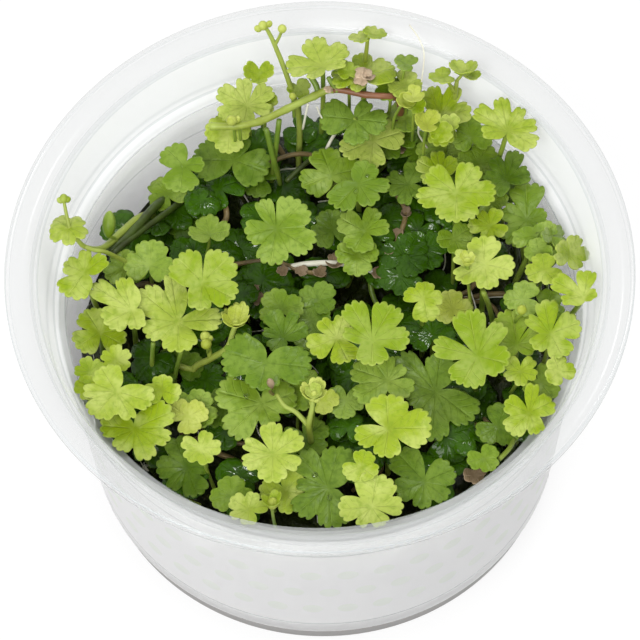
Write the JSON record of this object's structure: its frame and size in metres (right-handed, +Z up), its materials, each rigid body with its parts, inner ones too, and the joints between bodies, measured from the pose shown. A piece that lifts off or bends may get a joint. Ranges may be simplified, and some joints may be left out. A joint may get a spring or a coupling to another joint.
{
  "type": "potted pennywort",
  "caption": "Low aquarium pennywort with small lobed leaves on thin stalks, growing in a clear plastic tissue-culture cup with a wide flat rim.",
  "frame": {"origin": "centre of the cup's base, on the surface it stands on", "axes": "+Z up out of the cup; the side shown nearest in the picture faces -Y; +X is to the right as seen from there"},
  "size_m": [0.1, 0.1, 0.067],
  "materials": {
    "clear_plastic": "clear and glossy",
    "label_film": "plain white film, slightly translucent, unprinted",
    "gel": "wet, translucent growing gel",
    "root_mat": "dark, wet tangle of stems and roots",
    "stem": "smooth, fleshy, slightly wet",
    "leaf_bright": "soft satin leaf, yellow-green",
    "leaf_mid": "soft satin leaf, mid green",
    "leaf_dark": "glossy wet leaf, deep green"
  },
  "bodies": {
    "root": {"cup": "clear_plastic", "label": "label_film", "gel": "gel", "root_mat": "root_mat", "runner": "stem", "sprig_back_left": "stem", "sprig_back": "stem", "sprig_back_right": "stem", "sprig_left": "stem", "sprig_middle": "stem", "sprig_front": "stem", "leaf_01": "leaf_bright", "leaf_02": "leaf_bright", "leaf_03": "leaf_dark", "leaf_04": "leaf_mid", "leaf_05": "leaf_dark", "leaf_06": "leaf_bright", "leaf_07": "leaf_bright", "leaf_08": "leaf_mid", "leaf_09": "leaf_bright", "leaf_10": "leaf_bright", "leaf_11": "leaf_dark", "leaf_12": "leaf_dark", "leaf_13": "leaf_mid", "leaf_14": "leaf_bright", "leaf_15": "leaf_bright", "leaf_16": "leaf_bright", "leaf_17": "leaf_bright", "leaf_18": "leaf_bright", "leaf_19": "leaf_mid", "leaf_20": "leaf_dark", "leaf_21": "leaf_bright", "leaf_22": "leaf_dark", "leaf_23": "leaf_mid", "leaf_24": "leaf_mid", "leaf_25": "leaf_mid", "leaf_26": "leaf_bright", "leaf_27": "leaf_dark", "leaf_28": "leaf_mid", "leaf_29": "leaf_mid", "leaf_30": "leaf_bright", "leaf_31": "leaf_bright", "leaf_32": "leaf_bright", "leaf_33": "leaf_bright", "leaf_34": "leaf_mid", "leaf_35": "leaf_bright", "leaf_36": "leaf_dark", "leaf_37": "leaf_mid", "leaf_38": "leaf_bright", "leaf_39": "leaf_bright", "leaf_40": "leaf_dark", "leaf_41": "leaf_bright", "leaf_42": "leaf_bright", "leaf_43": "leaf_mid", "leaf_44": "leaf_mid", "leaf_45": "leaf_bright", "leaf_46": "leaf_dark", "leaf_47": "leaf_bright", "leaf_48": "leaf_dark", "leaf_49": "leaf_bright"}
  },
  "joints": []
}
